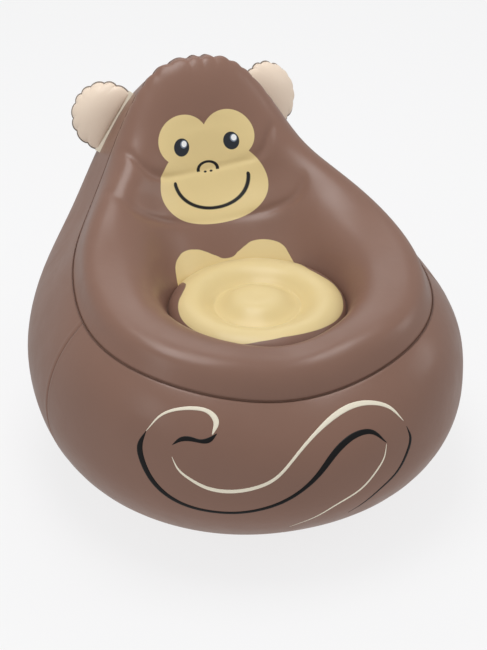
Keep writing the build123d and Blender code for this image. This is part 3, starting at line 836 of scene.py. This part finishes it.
def round_bead(name, radius, height, thickness, material, ripple=0.0):
    """A pressed ring weld round the seat's axis."""
    turns = np.linspace(0, 2 * math.pi, 361)[:-1]
    section = np.linspace(0, 2 * math.pi, 13)[:-1]
    grid = np.zeros((len(turns), len(section), 3))
    swell = thickness * (1 + ripple * np.sin(turns * 90))
    out = radius + swell[:, None] * np.cos(section)
    grid[..., 0] = out * np.cos(turns)[:, None]
    grid[..., 1] = SEAT_Y * MM + out * np.sin(turns)[:, None]
    grid[..., 2] = height + swell[:, None] * np.sin(section)
    columns, rows = grid.shape[:2]
    index = np.arange(columns * rows).reshape(columns, rows)
    a, b = index, np.roll(index, -1, 0)
    faces = np.stack((a, b, np.roll(b, -1, 1), np.roll(a, -1, 1)), -1).reshape(-1, 4).tolist()
    return new_piece(name, plain_mesh(name, grid.reshape(-1, 3), faces), material)


# the bead's darker vinyl is painted shade in the seat well's crease
well_bead = round_bead(
    "seat_well_bead", WELL_RADIUS * MM, WELL_HEIGHT * MM - 0.0006, BEAD_RADIUS, painted_shade_weld_vinyl, 0.12)

# ---------------------------------------------------------------- the printed tail

# strokes on the front wall: bearing, height in millimetres, half width in millimetres
TAIL_STROKES = {
    "cream": (
        ((-139.3, 264, 0.3), (-136.2, 289, 1.6), (-131.2, 300, 2.4), (-127, 301, 2.9), (-123, 297, 3.4),
         (-120.2, 285, 4.2), (-120.8, 271, 0.8)),
        ((-131.2, 233, 0.3), (-129.5, 216, 1.4), (-126, 201, 2.2), (-121.8, 190, 2.9), (-114.8, 186, 3.1),
         (-108.8, 192, 2.8), (-103.2, 205, 2.5), (-98.8, 225, 2.2), (-94.2, 244, 2.4), (-89, 258, 3.0),
         (-81.2, 272, 4.6), (-73.8, 279, 4.4), (-68.2, 277, 3.4), (-64.5, 267, 2.4), (-61.8, 244, 0.3)),
        ((-69, 221, 0.3), (-70.2, 202, 1.1), (-73, 183, 1.5), (-78, 158, 1.7), (-85, 138, 1.6),
         (-90.2, 118, 1.2), (-98, 95, 0.3)),
    ),
    "black": (
        ((-119.6, 272, 0.6), (-121.5, 264, 3.8), (-124, 262, 2.8), (-127, 264, 3.6), (-129.5, 261, 3.0),
         (-131.4, 252, 0.3)),
        ((-139.3, 264, 0.3), (-140.6, 240, 4.4), (-139.5, 211, 5.0), (-136.8, 184, 4.6), (-132.8, 163, 4.0),
         (-127.5, 149, 3.3), (-120.8, 143, 2.8), (-113.2, 144, 2.7), (-106.5, 152, 2.8), (-100.5, 165, 3.0),
         (-95.2, 183, 3.2), (-90.5, 204, 4.2), (-86.2, 225, 5.0), (-81, 241, 5.0), (-76.2, 247, 4.4),
         (-72.5, 244, 3.4), (-68.9, 223, 0.4)),
        ((-61.2, 234, 0.3), (-60.4, 213, 2.4), (-62, 190, 2.8), (-65.8, 162, 2.4), (-71, 141, 2.0),
         (-75.2, 121, 1.6), (-79.4, 102, 0.3)),
    ),
}


def on_wall(turns, heights):
    """Places on the wall's own surface, with the wall's normals there."""
    column = (turns + 180) / 360 * COLUMNS
    low = np.clip(column.astype(int), 0, COLUMNS - 1)
    share = column - low
    places, normals = [], []
    for k in range(len(turns)):
        both = []
        for c in (low[k], low[k] + 1):
            rows, level = wall_skin_grid[c], heights[k] * MM
            values = np.concatenate((rows, wall_normal[c]), 1)
            both.append([np.interp(level, rows[:, 2], values[:, axis]) for axis in range(6)])
        mixed = (1 - share[k]) * np.array(both[0]) + share[k] * np.array(both[1])
        places.append(mixed[:3])
        normals.append(mixed[3:] / np.linalg.norm(mixed[3:]))
    return np.array(places), np.array(normals)


def tail_ribbons(name, strokes, material, laid_print):
    """Tapered strokes laid on the front wall."""
    places, faces = [], []
    for stroke in strokes:
        line = np.array(stroke, float)
        coarse, _ = on_wall(line[:, 0], line[:, 1])
        run = np.concatenate(((0,), np.cumsum(np.linalg.norm(np.diff(coarse, axis=0), axis=1))))
        where = np.linspace(0, run[-1], max(40, int(run[-1] / 0.003)))
        first, last = (line[1] - line[0]) / run[1], (line[-1] - line[-2]) / (run[-1] - run[-2])
        dense = [through(run, line[:, k], where, first[k], last[k]) for k in range(2)]
        middle, normal = on_wall(dense[0], dense[1])
        half_width = MM * np.maximum(through(run, line[:, 2], where, first[2], last[2]), 0.15)
        tangent = np.gradient(middle, axis=0)
        tangent /= np.linalg.norm(tangent, axis=1, keepdims=True)
        side = np.cross(normal, tangent)
        start = len(places)
        for across in (-1, -0.5, 0, 0.5, 1):
            places.extend(middle + side * (across * half_width)[:, None])
        count = len(middle)
        for band in range(4):
            for i in range(count - 1):
                a = start + band * count + i
                faces.append((a, a + 1, a + count + 1, a + count))
    ribbon = new_piece(name, plain_mesh(name, places, faces), material)
    return shaped(ribbon, laid_print, sheet=front_wall_skin, lift=PRINT_LIFT - PRINT_THICKNESS,
                  thickness=PRINT_THICKNESS, material=material)


laid_print = print_tree()
cream_tail = tail_ribbons("cream_tail_print", TAIL_STROKES["cream"], cream_print, laid_print)
black_tail = tail_ribbons("black_tail_print", TAIL_STROKES["black"], black_print, laid_print)

# ---------------------------------------------------------------- ears

EAR_RADIUS = 0.0580
EAR_BULGE = 0.020
EAR_OFFSET = 0.0070
EAR_LOBES = 9
EAR_RIM = 181


def wall_point(turn, height):
    return on_wall(np.array((float(turn),)), np.array((float(height),)))[0][0]


def ear_axes():
    """Origin and axes of the right ear: away from the head, up its attached edge, and to the front."""
    low, high = wall_point(66, 436), wall_point(76.5, 538)
    up = (high - low) / np.linalg.norm(high - low)
    away = np.array((0.75, 0.55, 0.30))
    away = away - up * (away @ up)
    away /= np.linalg.norm(away)
    return (low + high) / 2, away, up, np.cross(away, up)


def ear_outline(count):
    """A circle cut by a chord, from the chord's lower end round to its upper end, and its outward lines."""
    centre = 0.31 * EAR_RADIUS
    start = math.asin(centre / EAR_RADIUS)
    turns = np.linspace(-math.pi / 2 - start, math.pi / 2 + start, count)
    outline = np.stack((centre + EAR_RADIUS * np.cos(turns), EAR_RADIUS * np.sin(turns)), -1)
    return outline, np.stack((np.cos(turns), np.sin(turns)), -1)


def ear_lobes(count):
    """Scallops along the curved edge, from 0 at a pinch to 1, not quite evenly spaced."""
    place = np.linspace(0, 1, count)
    drift = 0.12 * np.sin(9.3 * place + 0.8) + 0.07 * np.sin(23.0 * place)
    return np.abs(np.sin(math.pi * (EAR_LOBES * place + drift))) ** 0.6


def ear_dome(flat):
    """Height of the inflated pouch over places in the ear's plane: nothing on the chord or the circle."""
    x, y = flat[..., 0] / EAR_RADIUS, flat[..., 1] / EAR_RADIUS
    rise = np.clip(x * (1 - (x - 0.31) ** 2 - y ** 2) / 0.608, 0, 1)
    return EAR_BULGE * rise ** 0.5


def ear_shape():
    """The inflated pouch in the ear's own axes: two sheets that swell from a D-shaped, puckered weld."""
    curved, outward = ear_outline(EAR_RIM)
    straight = np.linspace(curved[-1], curved[0], 62)[1:-1]
    rim = np.concatenate((curved, straight))
    count, rings = len(rim), 34
    fade = np.clip(np.minimum(np.arange(EAR_RIM), np.arange(EAR_RIM)[::-1]) / 8, 0, 1)
    pull = np.concatenate(((1 - ear_lobes(EAR_RIM)) * fade, np.zeros(len(straight))))
    outward = np.concatenate((outward, np.zeros((len(straight), 2))))
    centre = np.array((0.66 * EAR_RADIUS, 0.0))
    share = 1 - np.linspace(0, 1, rings + 1)[:-1] ** 1.6
    gather = pull[None, :] * np.exp(-(1 - share[:, None]) / 0.11)
    flat = centre + (rim - centre)[None] * share[:, None, None]
    lean = 1 + 0.05 * np.sin(flat[..., 1] / 0.018 + 0.6) * np.sin(flat[..., 0] / 0.021)
    height = ear_dome(flat) * (1 - 0.34 * gather) * lean
    flat = flat - 0.0046 * gather[..., None] * outward[None]
    front = np.concatenate((flat, height[..., None]), -1).reshape(-1, 3)
    middle = np.array(((centre[0], centre[1], height[-1].mean()),))
    back = front[count:] * (1, 1, -1)
    places = np.concatenate((front, middle, back, middle * (1, 1, -1)))
    faces = []
    for ring in range(rings - 1):
        for k in range(count):
            a, b = ring * count + k, ring * count + (k + 1) % count
            faces.append((a, b, b + count, a + count))
    last = (rings - 1) * count
    faces += [(last + k, last + (k + 1) % count, rings * count) for k in range(count)]
    behind = rings * count + 1 - count
    faces += [tuple(i if i < count else i + behind for i in reversed(face)) for face in faces]
    return places, faces, count, len(curved)


def ear_pieces():
    """Both ears: pouch, weld edge and the flat flange that joins it to the wall."""
    origin, away, up, front = ear_axes()
    shape, faces, rim_count, curved_count = ear_shape()

    def placed(local, side):
        moved = origin + (local + (EAR_OFFSET, 0, 0)) @ np.stack((away, up, front))
        if side == "left":
            moved[:, 0] *= -1
        return moved

    made = {}
    for side in ("right", "left"):
        flip = side == "left"
        centre, axis, _ = valve_frame(f"{side}_ear")
        pouch = placed(shape, side)
        pouch = seated(pouch, shape[:, 2] < 0, np.array(centre), np.array(axis))
        mesh = plain_mesh(f"{side}_ear_pouch", pouch, [tuple(reversed(f)) for f in faces] if flip else faces)
        piece = new_piece(f"{side}_ear_pouch", mesh, ear_vinyl)
        smooth = piece.modifiers.new("smooth", "SUBSURF")
        smooth.levels = smooth.render_levels = 1
        frozen(piece)
        rim = shape[:curved_count]
        tangent = np.gradient(rim, axis=0)
        out = np.stack((tangent[:, 1], -tangent[:, 0], 0 * tangent[:, 0]), -1)
        out /= np.linalg.norm(out, axis=1, keepdims=True)
        inner, outer = placed(rim - out * 0.0012, side), placed(rim + out * 0.0022, side)
        lip = lip_strip(f"{side}_ear_weld_lip", *((outer, inner) if flip else (inner, outer)), False)
        shaped(lip, weld_lip, ribs=3200.0, rib_height=0.00006, thickness=0.0008, material=ear_weld_vinyl)
        made[side] = [piece, lip, ear_flange(side, shape, curved_count, rim_count, placed)]
    return made


def seated(pouch, back, centre, axis):
    """Flattens the pouch's back under the ear valve and presses the pit for its stem."""
    away = pouch - centre
    height = away @ axis
    radius = np.linalg.norm(away - height[:, None] * axis, axis=1)
    flat = np.clip((0.026 - radius) / 0.013, 0, 1)
    flat = np.where(back, flat * flat * (3 - 2 * flat), 0)
    target = -0.0004 - EAR_PIT_DEPTH * np.clip((PIT_RADIUS - radius) / 0.0015, 0, 1)
    return pouch + ((target - height) * flat)[:, None] * axis


def ear_flange(side, shape, curved_count, rim_count, placed):
    """The flat pale flange along the ear's straight edge, reaching the wall."""
    edge_line = shape[curved_count - 1:rim_count]
    edge_line = np.concatenate((edge_line, shape[:1]))
    order = np.argsort(edge_line[:, 1])
    edge_line = edge_line[order]
    count = 40
    y = np.linspace(edge_line[0, 1] - 0.004, edge_line[-1, 1] + 0.004, count)
    x = np.interp(y, edge_line[:, 1], edge_line[:, 0])
    near_line = placed(np.stack((x + 0.003, y, 0 * y), -1), "right")
    far_line = placed(np.stack((x - 0.020, y, 0 * y), -1), "right")
    wall = wall_surface()
    foot = []
    for start, end in zip(near_line, far_line):
        step = Vector(end - start)
        hit = wall.ray_cast(Vector(start), step.normalized(), 0.04)
        reach = (hit[0] + step.normalized() * 0.0012) if hit[0] is not None else Vector(end)
        foot.append(tuple(reach))
    foot = np.array(foot)
    rows = [near_line + (foot - near_line) * share for share in (0, 0.25, 0.5, 0.75, 1.0)]
    grid = np.array(rows)
    if side == "left":
        grid[..., 0] *= -1
    faces = []
    for r in range(len(rows) - 1):
        for i in range(count - 1):
            a = r * count + i
            quad = (a, a + 1, a + count + 1, a + count)
            faces.append(quad if side == "right" else tuple(reversed(quad)))
    name = f"{side}_ear_flange"
    piece = new_piece(name, plain_mesh(name, grid.reshape(-1, 3), faces), ear_flange_vinyl)
    thick = piece.modifiers.new("thickness", "SOLIDIFY")
    thick.thickness, thick.offset = 0.0012, 0
    round_off = piece.modifiers.new("edge", "BEVEL")
    round_off.width, round_off.segments, round_off.limit_method = 0.0003, 2, "ANGLE"
    return frozen(piece)


def wall_surface():
    """The rear wall's skin, for finding where a line meets it."""
    return BVHTree.FromObject(rear_wall_skin, bpy.context.evaluated_depsgraph_get())


ears = ear_pieces()

# ---------------------------------------------------------------- valves

COLLAR_RADII = {"main": 15.0, "left_ear": 10.0, "right_ear": 10.0}

def turned_piece(name, centre, axis, side, profile, material, turns=72):
    """A closed turned piece about a valve's axis, from (radius, height) pairs in millimetres."""
    profile = np.array(profile, float) * MM
    other = axis.cross(side)
    places, faces = [], []
    for k in range(turns):
        turn = 2 * math.pi * k / turns
        out = side * math.cos(turn) + other * math.sin(turn)
        places.extend(tuple(centre + out * float(r) + axis * float(h)) for r, h in profile)
    rows = len(profile)
    for k in range(turns):
        for j in range(rows):
            a, b = k * rows + j, (k + 1) % turns * rows + j
            c, d = (k + 1) % turns * rows + (j + 1) % rows, k * rows + (j + 1) % rows
            faces.append((a, b, c, d))
    piece = new_piece(name, plain_mesh(name, places, faces), material)
    mesh = bmesh.new()
    mesh.from_mesh(piece.data)
    bmesh.ops.recalc_face_normals(mesh, faces=mesh.faces)
    mesh.to_mesh(piece.data)
    mesh.free()
    soften = piece.modifiers.new("edge", "BEVEL")
    soften.width, soften.segments, soften.limit_method = 0.00012, 2, "ANGLE"
    soften.angle_limit = math.radians(50)
    return frozen(piece)


def valve_collar(name, radius):
    """The welded collar round a valve's stem, with a pressed ring."""
    centre, axis, side = valve_frame(name)
    top = centre + axis * 0.0008
    profile = (
        (6.4, -1.6), (6.4, 0.20), (7.4, 0.20), (7.9, 0.12), (radius - 3.2, 0.10), (radius - 2.7, 0.30),
        (radius - 1.9, 0.30), (radius - 1.4, 0.10), (radius - 0.3, 0.05), (radius, -0.25), (radius, -1.6),
    )
    return turned_piece(f"{name}_valve_collar", top, axis, side, profile, valve_vinyl)


collars = {name: valve_collar(name, radius) for name, radius in COLLAR_RADII.items()}

# ---------------------------------------------------------------- riding, standing in and kept nodes

for piece, node, fill in (
    (front_wall_skin, "front_wall", 0.95), (rear_wall_skin, "rear_wall", 0.95),
    (seat_back_skin, "seat_back_panel", 0.95), (seat_cushion_skin, "seat_cushion_top", 0.95),
):
    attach(piece, "chair_body")
    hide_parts(node)
for piece, node in ((perimeter_weld_lip, "perimeter_weld"), (well_bead, "seat_well_weld")):
    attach(piece, "chair_body")
    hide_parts(node)
for piece in (cream_tail, black_tail):
    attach(piece, "chair_body")

for side in ("left", "right"):
    pouch, lip, flange = ears[side]
    body = f"{side}_ear"
    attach(pouch, body)
    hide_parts(f"{side}_ear_front_sheet", f"{side}_ear_back_sheet")
    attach(lip, body)
    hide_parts(f"{side}_ear_edge_weld")
    origin, away, up, front = ear_axes()
    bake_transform(flange)

for name, collar in collars.items():
    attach(collar, "chair_body" if name == "main" else name)
    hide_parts(f"{name}_valve_flange")

KEPT = {
    "base_panel": brown_vinyl, "seat_well_web": inner_vinyl, "seat_ring_web": inner_vinyl,
    "nose_tie": inner_vinyl, "chin_tie": inner_vinyl,
}
for name in ("main", "left_ear", "right_ear"):
    for part in ("stem", "plug", "flap"):
        KEPT[f"{name}_valve_{part}"] = valve_vinyl
for node, material in KEPT.items():
    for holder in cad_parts[node].material_slots:
        holder.material = material

# ---------------------------------------------------------------- floor, light and camera

floor_mesh = plain_mesh("floor", [(-40, -40, 0), (40, -40, 0), (40, 40, 0), (-40, 40, 0)], [(0, 1, 2, 3)])
floor = new_piece("floor", floor_mesh, None)
floor.location.z = -0.0005
floor.visible_glossy = False
floor_paint = bpy.data.materials.new("pale_floor")
floor_paint.use_nodes = True
floor_shader = floor_paint.node_tree.nodes["Principled BSDF"]
floor_shader.inputs["Base Color"].default_value = (0.15, 0.15, 0.151, 1)
floor_shader.inputs["Emission Color"].default_value = (1.0, 1.0, 1.005, 1)
floor_shader.inputs["Emission Strength"].default_value = 0.79
floor_shader.inputs["Roughness"].default_value = 0.9
floor_shader.inputs["Specular IOR Level"].default_value = 0.1
floor_mesh.materials.append(floor_paint)

world = bpy.data.worlds.new("studio")
world.use_nodes = True
world.node_tree.nodes["Background"].inputs["Color"].default_value = (1.0, 1.0, 1.0, 1)
world.node_tree.nodes["Background"].inputs["Strength"].default_value = 0.50
bpy.context.scene.world = world


def softbox(name, place, aim, size, power, colour=(1, 1, 1)):
    light = bpy.data.lights.new(name, "AREA")
    light.shape, light.size, light.size_y = "RECTANGLE", size[0], size[1]
    light.energy, light.color = power, colour
    lamp = bpy.data.objects.new(name, light)
    bpy.context.collection.objects.link(lamp)
    lamp.location = place
    lamp.rotation_euler = (Vector(aim) - Vector(place)).to_track_quat("-Z", "Y").to_euler()
    return lamp


softbox("overhead_softbox", (-0.2, 0.1, 2.6), (0, 0, 0.3), (1.5, 1.2), 28)
softbox("rear_softbox", (0.5, 2.1, 2.3), (0, 0, 0.3), (1.8, 0.7), 7)
softbox("left_softbox", (-2.2, -1.2, 1.6), (0, 0, 0.3), (1.0, 1.5), 6)
softbox("right_softbox", (2.4, -0.6, 1.5), (0, 0, 0.3), (0.7, 1.3), 7)

turn, rise, distance = math.radians(-17.5), math.radians(32), 2.8
back = Vector((math.sin(turn) * math.cos(rise), -math.cos(turn) * math.cos(rise), math.sin(rise)))
right = Vector((math.cos(turn), math.sin(turn), 0))
above = back.cross(right)
camera_data = bpy.data.cameras.new("camera")
camera_data.sensor_width, camera_data.sensor_fit = 36, "AUTO"
camera_data.lens = 93.05
camera = bpy.data.objects.new("camera", camera_data)
bpy.context.collection.objects.link(camera)
facing = Matrix((right, above, back)).transposed()
place = Vector((0, 0, 0.28)) + back * distance - above * 0.037
camera.matrix_world = Matrix.Translation(place) @ facing.to_4x4()
bpy.context.scene.camera = camera
bpy.context.scene.view_settings.view_transform = "Standard"
